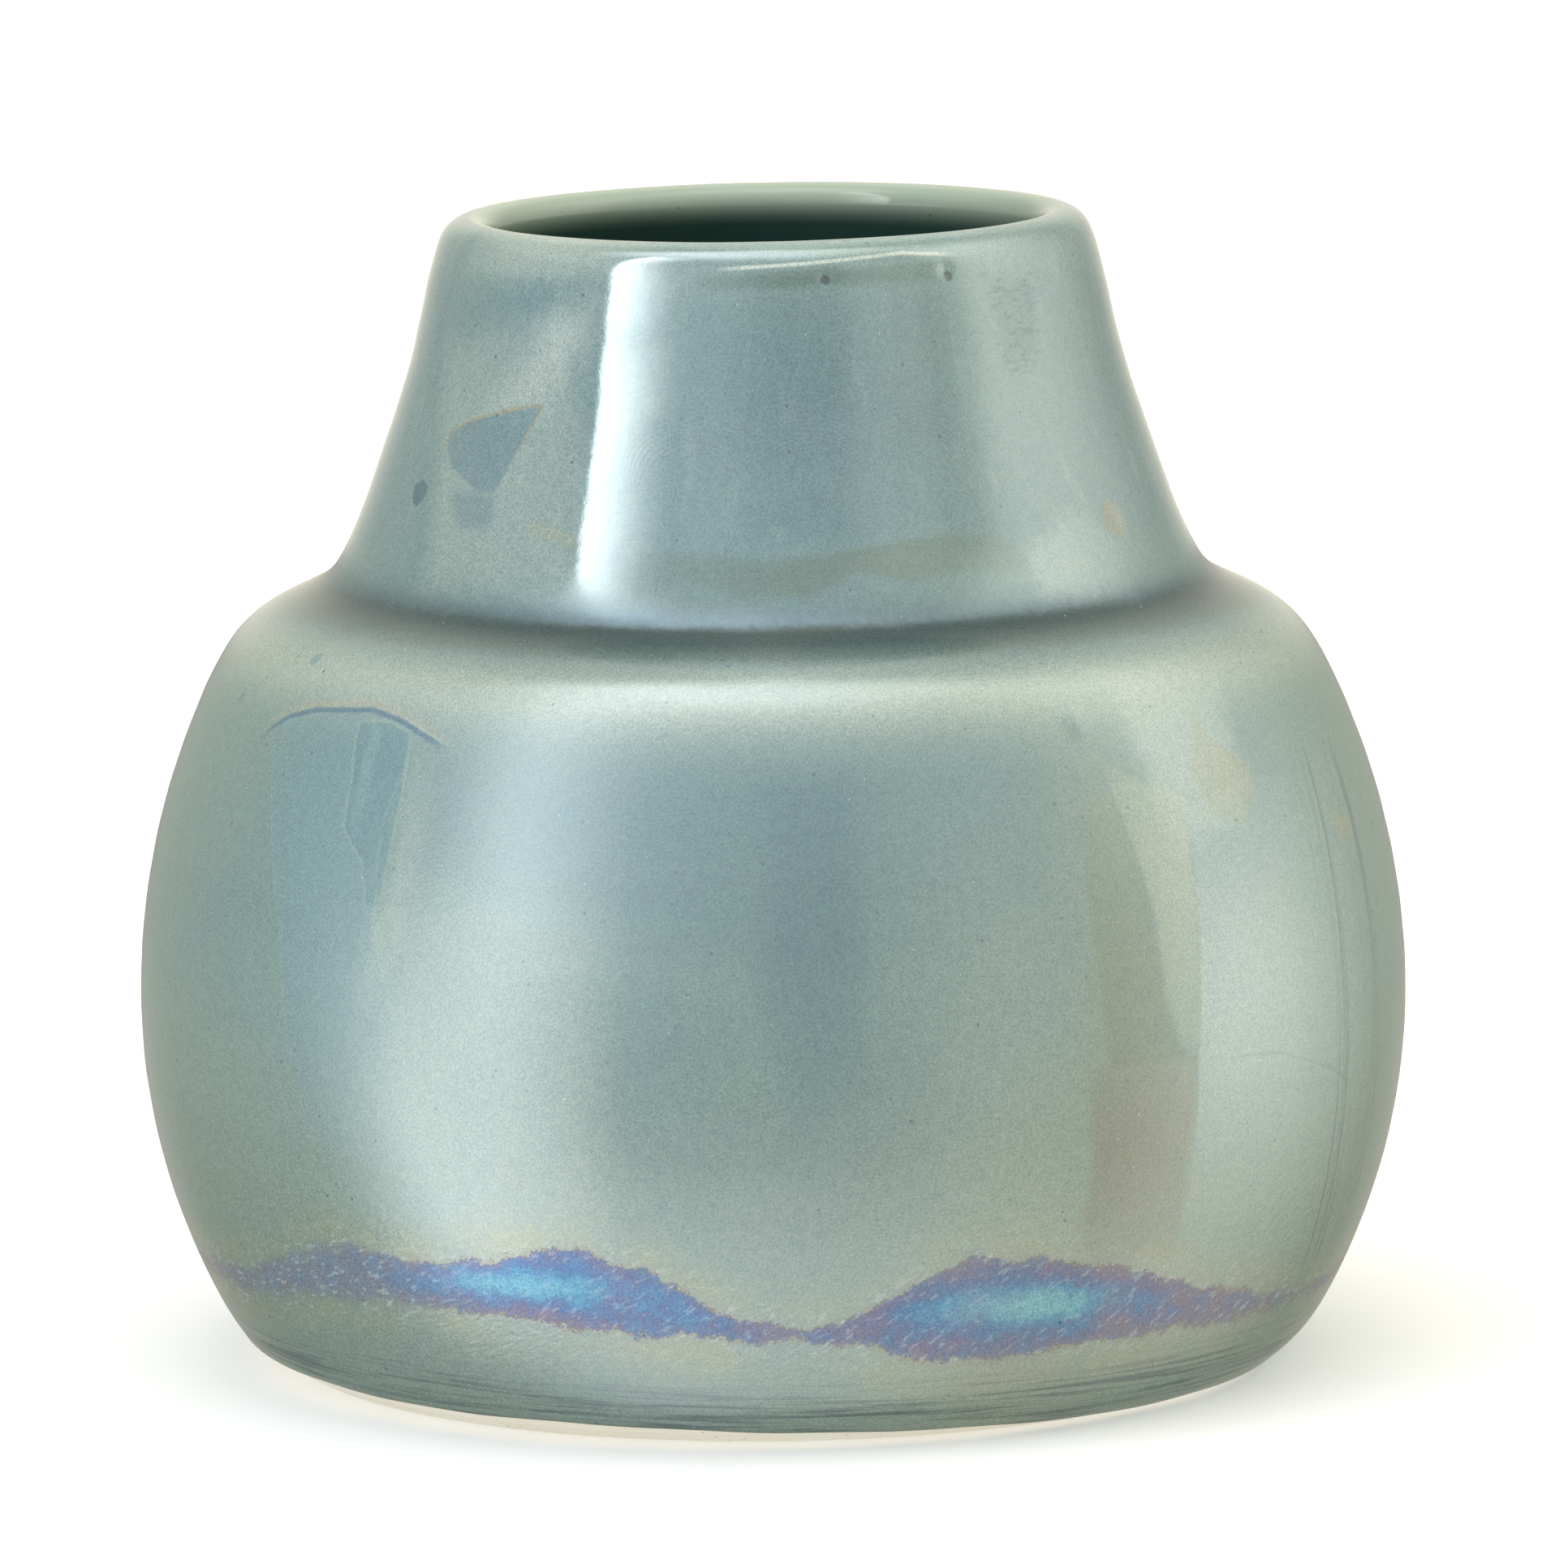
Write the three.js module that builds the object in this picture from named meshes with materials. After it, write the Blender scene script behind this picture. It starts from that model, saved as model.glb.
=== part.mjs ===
// A stoneware vase: a round thrown belly, a neck luted on at the shoulder groove, a bare turned foot
// ring, and two coats of glaze. Millimetres, +Z up, origin on the axis in the plane it stands on.
//
// Every wall follows one section, a chain of arcs that meet tangentially. An arc keeps the angle of its
// outward normal above the horizontal, so the clay and the glaze are the same chain at other depths.

import * as THREE from "three";

// Driving dimensions, over the glaze. Each stretch of the outside gives its radius and the angle at which
// its normal ends, counted from the belly's widest place.
const BELLY_RADIUS = 75;
const BELLY_HEIGHT = 43.6;
const LOWER_BELLY = { radius: 75, angle: -29.7 };
const BASE_TURN_RADIUS = 16;
const UPPER_BELLY = { radius: 85, angle: 28.3 };
const SHOULDER = { radius: 14, angle: 64.7 };
const SHOULDER_LENGTH = 5;
const GROOVE = { radius: 7, angle: 24 };
const NECK = { radius: 181, angle: 11.6 };
const LIP_RADIUS = 3.7;
const INNER_LIP_RADIUS = 2.4;
const WALL = 6.2;
const FLOOR_HEIGHT = 9.5;
const FLOOR_CORNER_RADIUS = 8;

const GLAZE = 0.6;
const JOINT_ANGLE = 45;
const FOOT_HEIGHT = 3.5;
const FOOT_INNER_RADIUS = 49;
const FOOT_CHAMFER = 1;

// How finely the round shapes are faceted
const SEGMENTS = 40;
const SAGITTA = 0.12;

function surface(name, color, roughness) {
  return new THREE.MeshStandardMaterial({ name, color, roughness, metalness: 0 });
}

const CLAY = surface("clay", 0xd9cdb8, 0.85);
const LUSTRE_GLAZE = surface("lustre_glaze", 0x93a8a5, 0.12);
const LINER_GLAZE = surface("liner_glaze", 0x3c4f4b, 0.15);

const radians = THREE.MathUtils.degToRad;
const degrees = THREE.MathUtils.radToDeg;

function normal(angle) {
  return new THREE.Vector2(Math.cos(radians(angle)), Math.sin(radians(angle)));
}

// The way an outline runs where its outward normal has this angle: up the outside and down the inside
function tangent(angle) {
  return normal(angle + 90);
}

// A point of an arc, at a depth below the glazed surface. A hollow arc has its centre outside the wall.
function pointOn(arc, angle, depth) {
  const side = arc.hollow ? -1 : 1;
  return arc.centre.clone().addScaledVector(normal(angle), side * arc.radius - depth);
}

// The arc that leaves a point, tangent to what ends there, and turns its normal from one angle to another.
function bend(start, from, to, radius, hollow = false) {
  const centre = start.clone().addScaledVector(normal(from), hollow ? radius : -radius);
  return { centre, radius, from, to, hollow };
}

function endOf(arc) {
  return pointOn(arc, arc.to, 0);
}

// The points of an arc at a depth, close enough together for the chords to lie within SAGITTA of it.
function pointsOf(arc, depth, from = arc.from, to = arc.to) {
  const stepAngle = degrees(2 * Math.acos(1 - SAGITTA / arc.radius));
  const steps = Math.ceil(Math.abs(to - from) / stepAngle);
  return Array.from({ length: steps + 1 }, (_, i) => pointOn(arc, from + ((to - from) * i) / steps, depth));
}

// The outside, from the belly's widest place down to the foot and up to the lip
const widest = new THREE.Vector2(BELLY_RADIUS, BELLY_HEIGHT);
const lowerBelly = bend(widest, 0, LOWER_BELLY.angle, LOWER_BELLY.radius);
const baseTurn = bend(endOf(lowerBelly), LOWER_BELLY.angle, -90, BASE_TURN_RADIUS);
const upperBelly = bend(widest, 0, UPPER_BELLY.angle, UPPER_BELLY.radius);
const shoulder = bend(endOf(upperBelly), UPPER_BELLY.angle, SHOULDER.angle, SHOULDER.radius);
const grooveStart = endOf(shoulder).addScaledVector(tangent(SHOULDER.angle), SHOULDER_LENGTH);
const groove = bend(grooveStart, SHOULDER.angle, GROOVE.angle, GROOVE.radius, true);
const neck = bend(endOf(groove), GROOVE.angle, NECK.angle, NECK.radius, true);
const lip = bend(endOf(neck), NECK.angle, 90, LIP_RADIUS);

// The inside of the lip is a tighter arc, level with the outside one and tangent to the neck's inner wall.
function innerLipArc() {
  const inner = pointOn(neck, NECK.angle, WALL - INNER_LIP_RADIUS);
  const rise = endOf(lip).y - INNER_LIP_RADIUS - inner.y;
  const along = tangent(NECK.angle);
  const centre = inner.addScaledVector(along, rise / along.y);
  return { centre, radius: INNER_LIP_RADIUS, from: 90, to: 180 + NECK.angle, hollow: false };
}

// The hollow corner between the floor and the wall, tangent to both
function floorCornerArc() {
  const reach = LOWER_BELLY.radius - WALL - FLOOR_CORNER_RADIUS;
  const drop = BELLY_HEIGHT - FLOOR_HEIGHT - FLOOR_CORNER_RADIUS;
  const angle = -degrees(Math.asin(drop / reach));
  const centre = lowerBelly.centre.clone().addScaledVector(normal(angle), reach);
  return { centre, radius: FLOOR_CORNER_RADIUS, from: angle, to: -90, hollow: false };
}

const innerLip = innerLipArc();
const floorCorner = floorCornerArc();

// The angle at which the bare clay of the base turn reaches a height
function baseTurnAngle(height) {
  return degrees(Math.asin((height - baseTurn.centre.y) / (BASE_TURN_RADIUS - GLAZE)));
}

// The outside of the belly, from the foot joint up to the neck joint
function bellyOutside(depth) {
  return [
    ...pointsOf(baseTurn, depth, baseTurnAngle(FOOT_HEIGHT), LOWER_BELLY.angle),
    ...pointsOf(lowerBelly, depth, LOWER_BELLY.angle, 0).slice(1),
    ...pointsOf(upperBelly, depth).slice(1),
    ...pointsOf(shoulder, depth).slice(1),
    ...pointsOf(groove, depth, SHOULDER.angle, JOINT_ANGLE),
  ];
}

// The outside of the neck, from the joint up to the top of the lip
function neckOutside(depth) {
  return [
    ...pointsOf(groove, depth, JOINT_ANGLE, GROOVE.angle),
    ...pointsOf(neck, depth).slice(1),
    ...pointsOf(lip, depth).slice(1),
  ];
}

// The inside of the neck, from the top of the lip down to the joint
function neckInside(skin) {
  return [
    ...pointsOf(innerLip, skin),
    ...pointsOf(neck, WALL - skin).reverse(),
    ...pointsOf(groove, WALL - skin, JOINT_ANGLE, GROOVE.angle).reverse().slice(1),
  ];
}

// The inside of the belly, from the joint down and in to the axis
function bellyInside(skin) {
  return [
    ...pointsOf(groove, WALL - skin, SHOULDER.angle, JOINT_ANGLE).reverse(),
    ...pointsOf(shoulder, WALL - skin).reverse(),
    ...pointsOf(upperBelly, WALL - skin).reverse().slice(1),
    ...pointsOf(lowerBelly, WALL - skin, 0, floorCorner.from).slice(1),
    ...pointsOf(floorCorner, -skin).slice(1),
    new THREE.Vector2(0, FLOOR_HEIGHT - skin),
  ];
}

// The foot ring's section: its flat land, the turned edge outside it, the joint face and a chamfered inside
function footOutline() {
  const turnedEdge = pointsOf(baseTurn, GLAZE, baseTurnAngle(0), baseTurnAngle(FOOT_HEIGHT));
  return [
    new THREE.Vector2(FOOT_INNER_RADIUS + FOOT_CHAMFER, 0),
    ...turnedEdge,
    new THREE.Vector2(FOOT_INNER_RADIUS, FOOT_HEIGHT),
    new THREE.Vector2(FOOT_INNER_RADIUS, FOOT_CHAMFER),
  ];
}

function bellyOutline() {
  return [new THREE.Vector2(0, FOOT_HEIGHT), ...bellyOutside(GLAZE), ...bellyInside(GLAZE)];
}

function neckOutline() {
  return [...neckOutside(GLAZE), ...neckInside(GLAZE)];
}

// The outer coat, from just over the foot ring to the top of the lip, where the liner meets it
function outerGlazeOutline() {
  const surface = [...bellyOutside(0), ...neckOutside(0).slice(1)];
  const bed = [...bellyOutside(GLAZE), ...neckOutside(GLAZE).slice(1)];
  return [...surface, ...bed.reverse()];
}

function linerGlazeOutline() {
  const lipTop = endOf(lip);
  const surface = [lipTop, ...neckInside(0), ...bellyInside(0).slice(1)];
  const bed = [...neckInside(GLAZE), ...bellyInside(GLAZE).slice(1)];
  return [...bed.reverse(), pointOn(lip, 90, GLAZE), ...surface];
}

// Splits each four-sided facet of a lathe along the diagonal that starts at its lower edge's far corner,
// whichever way the outline runs there, so that two pieces with a face in common share its triangles.
function matchedFacets(lathe, outline) {
  const index = [];
  for (let turn = 0; turn < SEGMENTS; turn++) {
    for (let j = 0; j < outline.length - 1; j++) {
      const a = turn * outline.length + j;
      const b = a + outline.length;
      const c = b + 1;
      const d = a + 1;
      const here = outline[j];
      const next = outline[j + 1];
      const rising = next.y !== here.y ? next.y > here.y : next.x > here.x;
      if (here.x === 0) index.push(a, c, d);
      else if (next.x === 0) index.push(a, b, d);
      else if (rising) index.push(a, b, d, b, c, d);
      else index.push(a, b, c, a, c, d);
    }
  }
  lathe.setIndex(index);
  return lathe;
}

// A turned piece. An outline that doesn't start on the axis is closed on itself.
function turned(name, outline, material) {
  const closed = outline[0].x === 0 ? outline : [...outline, outline[0]];
  const geometry = matchedFacets(new THREE.LatheGeometry(closed, SEGMENTS), closed);
  const mesh = new THREE.Mesh(geometry, material);
  mesh.name = name;
  return mesh;
}

const vase = new THREE.Group();
vase.rotation.x = Math.PI / 2;
vase.add(
  turned("foot_ring", footOutline(), CLAY),
  turned("belly", bellyOutline(), CLAY),
  turned("neck", neckOutline(), CLAY),
  turned("outer_glaze", outerGlazeOutline(), LUSTRE_GLAZE),
  turned("liner_glaze", linerGlazeOutline(), LINER_GLAZE),
);

export default vase;
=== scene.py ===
"""A thrown stoneware vase under a lustre glaze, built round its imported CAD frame.

Every piece is turned again from the section of its own CAD node, finely and with the unevenness of a
hand-made pot. Lengths are in metres unless a name says otherwise: _MM is millimetres and _NM nanometres.
Azimuths are in degrees round +Z, 0 at the front (-Y) and growing to the right (+X).
"""
import math

import bpy
import numpy as np
from mathutils import Matrix, Vector


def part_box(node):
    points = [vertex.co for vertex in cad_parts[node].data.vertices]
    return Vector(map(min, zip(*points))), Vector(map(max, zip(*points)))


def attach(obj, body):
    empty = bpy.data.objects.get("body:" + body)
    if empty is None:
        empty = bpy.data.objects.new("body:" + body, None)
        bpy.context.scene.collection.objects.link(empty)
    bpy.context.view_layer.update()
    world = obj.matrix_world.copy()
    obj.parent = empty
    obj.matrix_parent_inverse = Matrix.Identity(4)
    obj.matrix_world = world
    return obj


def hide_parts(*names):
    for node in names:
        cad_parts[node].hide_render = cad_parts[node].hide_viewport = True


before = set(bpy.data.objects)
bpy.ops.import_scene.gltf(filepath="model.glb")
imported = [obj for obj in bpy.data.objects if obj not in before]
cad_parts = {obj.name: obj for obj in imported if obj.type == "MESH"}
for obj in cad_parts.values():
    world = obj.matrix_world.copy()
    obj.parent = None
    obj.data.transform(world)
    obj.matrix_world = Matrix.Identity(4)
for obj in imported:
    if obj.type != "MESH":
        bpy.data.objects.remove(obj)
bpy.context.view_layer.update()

MM = 0.001

# The camera, fitted to the vase's own outline
CAMERA_PLACE = (0, -1.3851, 0.2727)
CAMERA_AIM = (0.0016, 0, 0.0676)
CAMERA_ROLL = 0.62
CAMERA_LENS = 271.8

# How finely the round shapes are made: the rows' longest steps, and how much closer a bend brings them
SEGMENTS = 480
OUTER_STEP_MM = 0.98
LINER_STEP_MM = 1.9
BED_STEP_MM = 5.0
FOOT_STEP_MM = 0.3
BEND_DENSITY = 4.2
BED_DENSITY = 2.2
BED_ROWS = 24
BASE_STEP_MM = 0.5

# The glaze's lower edge: how far up the wall it moves the rows, and its rounded, slightly rolled end
LINE_REACH_MM = 9.0
BEAD_ROUND_MM = 0.7
BEAD_ROLL_MM = 0.12

# The bare clay
FOOT_ROUND_MM = 0.3
SPIRAL_PITCH_MM = 2.4
SPIRAL_DEPTH_MM = 0.12
SMOOTHING_MM = 0.8
FINE_STEP_MM = 0.05

# The hand-made unevenness
OVAL_MM = 0.22
RIM_TILT = 0.5
THROWING_MM = 0.012
SURFACE_WAVE_MM = 0.012


# ---------------------------------------------------------------- sections of the CAD nodes


def section(node):
    """The outline that a CAD node is turned from: its (radius, height) points in mm, counter-clockwise."""
    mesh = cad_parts[node].data
    places = []
    for vertex in mesh.vertices:
        x, y, z = vertex.co
        in_plane = abs(x) < 1e-6 and y < 1e-6
        places.append((round(-y / MM, 3) + 0.0, round(z / MM, 3)) if in_plane else None)
    near = {}
    for edge in mesh.edges:
        a, b = (places[i] for i in edge.vertices)
        if a is None or b is None or a == b:
            continue
        near.setdefault(a, set()).add(b)
        near.setdefault(b, set()).add(a)
    ends = [p for p in near if len(near[p]) == 1]
    if ends:
        near[ends[0]].add(ends[1])
        near[ends[1]].add(ends[0])
    first = min(near)
    chain = [first, min(near[first])]
    while len(chain) < len(near):
        chain.append(next(p for p in sorted(near[chain[-1]]) if p != chain[-2]))
    points = np.array(chain)
    r, z = points.T
    area = np.sum(r * np.roll(z, -1) - z * np.roll(r, -1))
    return points if area > 0 else points[::-1]


def stretch(points, start, end):
    """The part of an outline from the point nearest to start to the one nearest to end."""
    first = np.argmin(np.hypot(*(points - start).T))
    turned_round = np.roll(points, -first, axis=0)
    last = np.argmin(np.hypot(*(turned_round - end).T))
    return turned_round[: last + 1]


def corner(points, height_sign, radius_sign):
    """The point that lies furthest along the given signs, height first and then radius."""
    return max(points.tolist(), key=lambda p: (height_sign * p[1], radius_sign * p[0]))


def spline(points):
    """A smooth curve through the points, sampled finely, with what the CAD's facets leave evened out."""
    steps = np.hypot(*np.diff(points, axis=0).T)
    at = np.concatenate([[0], np.cumsum(steps)])
    count = len(points)
    system = np.eye(count)
    right = np.zeros((count, 2))
    for i in range(1, count - 1):
        before, after = steps[i - 1], steps[i]
        system[i, i - 1 : i + 2] = before, 2 * (before + after), after
        right[i] = 6 * ((points[i + 1] - points[i]) / after - (points[i] - points[i - 1]) / before)
    bend = np.linalg.solve(system, right)
    fine = np.arange(0, at[-1], FINE_STEP_MM)
    i = np.clip(np.searchsorted(at, fine, "right") - 1, 0, count - 2)
    h = steps[i][:, None]
    to_next = (at[i + 1] - fine)[:, None]
    from_last = (fine - at[i])[:, None]
    curve = (bend[i] * to_next**3 + bend[i + 1] * from_last**3) / (6 * h)
    curve += (points[i] / h - bend[i] * h / 6) * to_next
    curve += (points[i + 1] / h - bend[i + 1] * h / 6) * from_last
    return evened(curve, SMOOTHING_MM / FINE_STEP_MM)


def evened(curve, sigma):
    """A curve averaged along itself over sigma samples, with its ends kept."""
    reach = int(3 * sigma)
    weights = np.exp(-0.5 * (np.arange(-reach, reach + 1) / sigma) ** 2)
    weights /= weights.sum()
    head = 2 * curve[0] - curve[reach:0:-1]
    tail = 2 * curve[-1] - curve[-2 : -reach - 2 : -1]
    padded = np.vstack([head, curve, tail])
    return np.column_stack([np.convolve(padded[:, k], weights, "valid") for k in (0, 1)])


def rows_of(curve, longest, bend_density):
    """Places along a fine curve, counted in its samples, closer together where it bends more."""
    along = np.gradient(curve, axis=0)
    heading = np.unwrap(np.arctan2(along[:, 1], along[:, 0]))
    bending = evened(np.column_stack([np.abs(np.gradient(heading)) / FINE_STEP_MM] * 2), 20)[:, 0]
    density = np.maximum(1 / longest, bend_density * np.sqrt(np.abs(bending)))
    total = np.cumsum(density) * FINE_STEP_MM
    count = int(math.ceil(total[-1] - total[0]))
    return np.interp(np.linspace(total[0], total[-1], count + 1), total, np.arange(len(curve)))


def rounded(outline, sigma):
    """A closed outline with its corners rounded off, as evenly spaced points."""
    closed = np.vstack([outline, outline[:1]])
    steps = np.hypot(*np.diff(closed, axis=0).T)
    at = np.concatenate([[0], np.cumsum(steps)])
    places = np.arange(0, at[-1], FOOT_STEP_MM)
    dense = np.column_stack([np.interp(places, at, closed[:, k]) for k in (0, 1)])
    reach = int(4 * sigma / FOOT_STEP_MM) + 1
    weights = np.exp(-0.5 * (np.arange(-reach, reach + 1) * FOOT_STEP_MM / sigma) ** 2)
    padded = np.vstack([dense[-reach:], dense, dense[:reach]])
    return np.column_stack([np.convolve(padded[:, k], weights / weights.sum(), "valid") for k in (0, 1)])


def outward(points):
    """The unit normals on the right-hand side of a run of points."""
    along = np.gradient(points, axis=0)
    along /= np.hypot(*along.T)[:, None]
    return np.column_stack([along[:, 1], -along[:, 0]])


FOOT = section("foot_ring")
BELLY = section("belly")
NECK = section("neck")
FOOT_TOP = corner(FOOT, 1, 1)
JOINT = corner(BELLY, 1, 1)
LIP_TOP = corner(NECK, 1, 1)
JOINT_INSIDE = corner(NECK, -1, -1)
LAND_EDGE = corner(FOOT, -1, 1)
FLOOR_CENTRE = max(p for p in BELLY.tolist() if p[0] < 0.01)
GLAZE_MM = (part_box("outer_glaze")[1].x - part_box("belly")[1].x) / MM

WALL_POINTS = np.vstack([
    stretch(FOOT, LAND_EDGE, FOOT_TOP)[:-1],
    stretch(BELLY, FOOT_TOP, JOINT)[:-1],
    stretch(NECK, JOINT, LIP_TOP)[:-1],
    stretch(NECK, LIP_TOP, JOINT_INSIDE)[:-1],
    stretch(BELLY, JOINT_INSIDE, FLOOR_CENTRE),
])

# The clay's whole wall as one fine curve: up the outside, over the lip, down the inside and in to the axis
WALL = spline(WALL_POINTS)
WALL_NORMAL = outward(WALL)
LIP = int(np.argmax(WALL[:, 1]))
FOOT_INNER_MM = min(p[0] for p in FOOT.tolist())


def sample_near(point, part):
    """The sample of the wall nearest to a point, in one part of it."""
    return part.start + int(np.argmin(np.hypot(*(WALL[part] - point).T)))


UP = slice(0, LIP + 1)
DOWN = slice(LIP, len(WALL))
FOOT_SAMPLE = sample_near(FOOT_TOP, UP)
JOINT_SAMPLE = sample_near(JOINT, UP)
JOINT_INSIDE_SAMPLE = sample_near(JOINT_INSIDE, DOWN)


def on_wall(sample):
    """The clay's points and normals at places counted in samples, of any array shape."""
    count = np.arange(len(WALL))
    points = np.stack([np.interp(sample, count, WALL[:, k]) for k in (0, 1)], axis=-1)
    normals = np.stack([np.interp(sample, count, WALL_NORMAL[:, k]) for k in (0, 1)], axis=-1)
    return points, normals / np.linalg.norm(normals, axis=-1, keepdims=True)


# ---------------------------------------------------------------- places on the wall


def smoothstep(low, high, value):
    t = np.clip((value - low) / (high - low), 0, 1)
    return t * t * (3 - 2 * t)


def radius_at(height):
    """The glaze's radius in mm at a height on the outside."""
    return np.interp(height, WALL[UP, 1], WALL[UP, 0]) + GLAZE_MM


def flat(azimuth, height, centre):
    """Places on the wall as flat (across, up) in mm round a centre azimuth."""
    across = (np.asarray(azimuth, float) - centre + 180) % 360 - 180
    height = np.asarray(height, float)
    return np.stack([np.radians(across) * radius_at(height), height], axis=-1)


def distance_to(azimuth, height, line):
    """The distance in mm along the wall from each place to an open line of (azimuth, height) points."""
    centre = np.mean([p[0] for p in line])
    places = flat(azimuth, height, centre)
    corners = flat([p[0] for p in line], [p[1] for p in line], centre)
    nearest = np.linalg.norm(places - corners[0], axis=-1)
    for a, b in zip(corners[:-1], corners[1:]):
        t = np.clip(((places - a) @ (b - a)) / max((b - a) @ (b - a), 1e-9), 0, 1)
        nearest = np.minimum(nearest, np.linalg.norm(places - a - t[..., None] * (b - a), axis=-1))
    return nearest


def depth_in(azimuth, height, outline):
    """How deep in mm each place lies in a closed outline of (azimuth, height) points: negative outside."""
    centre = np.mean([p[0] for p in outline])
    places = flat(azimuth, height, centre)
    corners = flat([p[0] for p in outline], [p[1] for p in outline], centre)
    inside = np.zeros(places.shape[:-1], bool)
    for a, b in zip(corners, np.roll(corners, -1, axis=0)):
        between = (a[1] > places[..., 1]) != (b[1] > places[..., 1])
        rise = b[1] - a[1] if b[1] != a[1] else 1e-9
        inside ^= between & (places[..., 0] < a[0] + (places[..., 1] - a[1]) * (b[0] - a[0]) / rise)
    away = distance_to(azimuth, height, [*outline, outline[0]])
    return np.where(inside, away, -away)


def wandering(azimuth, seed, *waves):
    """A curve round the vase: a sum of waves, each given as (times round, size)."""
    phases = np.random.default_rng(seed).uniform(0, 2 * np.pi, len(waves))
    angle = np.radians(azimuth)
    return sum(size * np.cos(angle * times + phase) for (times, size), phase in zip(waves, phases))


# Marks raised or sunk in the glaze: azimuth, height_MM, radius_MM, rise_MM
MARKS = [
    (32, 82.0, 1.1, 0.45),
    (10, 131.6, 0.7, -0.2),
    (32, 131.6, 0.7, -0.2),
    (-61, 105.8, 1.1, -0.1),
    (57, 102.0, 1.4, -0.1),
    (-148, 96.0, 1.2, 0.3),
    (171, 128.0, 0.8, -0.2),
    (118, 71.0, 1.2, 0.3),
]


def relief(azimuth, height):
    """How far the outer glaze stands out, in mm: throwing rings, slow waves and the marks."""
    turn = 2 * np.pi * (height / 6.5 + azimuth / 360)
    out = THROWING_MM * np.sin(turn + 1.7 * np.sin(height / 11)) * smoothstep(6, 30, height)
    out += SURFACE_WAVE_MM * wandering(azimuth + 1.3 * height, 3, (3, 1.0), (5, 0.8), (8, 0.5), (13, 0.3))
    out += SURFACE_WAVE_MM * wandering(azimuth - 2.1 * height, 4, (11, 0.35), (17, 0.3), (29, 0.2))
    for place, high, radius, rise in MARKS:
        out += rise * np.exp(-((distance_to(azimuth, height, [(place, high)]) / radius) ** 2))
    return out


# ---------------------------------------------------------------- meshes


def handmade(points):
    """Points in mm, moved as the whole wall is: a little oval, and with a rim that tips to the left."""
    x, y, z = np.moveaxis(points, -1, 0)
    azimuth = np.arctan2(x, -y)
    oval = OVAL_MM * smoothstep(4, 60, z) * (np.cos(2 * azimuth - 0.7) + 0.4 * np.cos(3 * azimuth + 1.1))
    scale = 1 + oval / np.maximum(np.hypot(x, y), 20)
    tip = math.tan(math.radians(RIM_TILT)) * smoothstep(88, 128, z)
    return np.stack([x * scale, y * scale, z + tip * x], axis=-1)


def revolved(rings):
    """Hand-made vertices in mm from rings of shape (segments, rows, 2)."""
    angles = (np.arange(len(rings)) * 2 * np.pi / len(rings))[:, None]
    r, z = rings[..., 0], rings[..., 1]
    return handmade(np.stack([r * np.sin(angles), -r * np.cos(angles), z], axis=-1))


def grid_normals(grid):
    """The unit normals of a grid of vertices that closes on itself round the vase."""
    along = np.gradient(grid, axis=1)
    across = np.roll(grid, -1, axis=0) - np.roll(grid, 1, axis=0)
    normals = np.cross(across, along)
    return normals / np.maximum(np.linalg.norm(normals, axis=-1, keepdims=True), 1e-9)


def turned(node, rings, normals=None, on_axis=False):
    """A closed piece from one closed outline per azimuth. One that is on_axis starts and ends there."""
    segments, rows = rings.shape[:2]
    index = np.arange(segments * rows).reshape(segments, rows)
    beside = np.roll(index, -1, axis=0)
    low, high = slice(None, -1), slice(1, None)
    if on_axis:
        quads = [index[:, low], beside[:, low], beside[:, high], index[:, high]]
    else:
        quads = [index, beside, np.roll(beside, -1, axis=1), np.roll(index, -1, axis=1)]
    faces = np.stack(quads, axis=-1).reshape(-1, 4)
    vertices = revolved(rings).reshape(-1, 3) * MM
    faces, used = joined_on_axis(faces, index) if on_axis else (faces.tolist(), np.arange(index.size))
    mesh = bpy.data.meshes.new(node)
    mesh.from_pydata(vertices[used].tolist(), [], faces)
    mesh.polygons.foreach_set("use_smooth", [True] * len(mesh.polygons))
    if normals is not None:
        mesh.normals_split_custom_set_from_vertices(normals.reshape(-1, 3)[used].tolist())
    piece = bpy.data.objects.new("fine_" + node, mesh)
    bpy.context.scene.collection.objects.link(piece)
    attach(piece, "root")
    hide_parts(node)
    return piece


def joined_on_axis(faces, index):
    """Faces with one vertex for each end row, which lies on the axis, and the vertices that they use."""
    swap = np.arange(index.size)
    swap[index[:, 0]] = index[0, 0]
    swap[index[:, -1]] = index[0, -1]
    faces = [list(dict.fromkeys(face)) for face in swap[faces].tolist()]
    used = sorted({v for face in faces for v in face})
    renamed = {old: new for new, old in enumerate(used)}
    return [[renamed[v] for v in face] for face in faces], used


def all_round(outline):
    return np.broadcast_to(outline, (SEGMENTS, *outline.shape)).copy()


def run(start, end, step):
    """Evenly spaced points from start up to end, without it."""
    count = max(1, round(math.dist(start, end) / step))
    return np.linspace(start, end, count, endpoint=False)


def clay_between(start, end):
    """The clay's wall between two samples, coarsely, because glaze covers it."""
    places = start + rows_of(WALL[start:end], BED_STEP_MM, BED_DENSITY)
    return on_wall(places)[0]


AZIMUTHS = np.arange(SEGMENTS) * 360 / SEGMENTS
GLAZE_LINE_MM = 1.75 + 1.3 * np.cos(np.radians(AZIMUTHS + 80))
GLAZE_LINE_MM += wandering(AZIMUTHS, 11, (5, 0.12), (9, 0.08), (23, 0.05))
OUTER_ROWS = rows_of(WALL[:LIP], OUTER_STEP_MM, BEND_DENSITY)
LINER_ROWS = LIP + rows_of(WALL[LIP:], LINER_STEP_MM, BEND_DENSITY)


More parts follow.
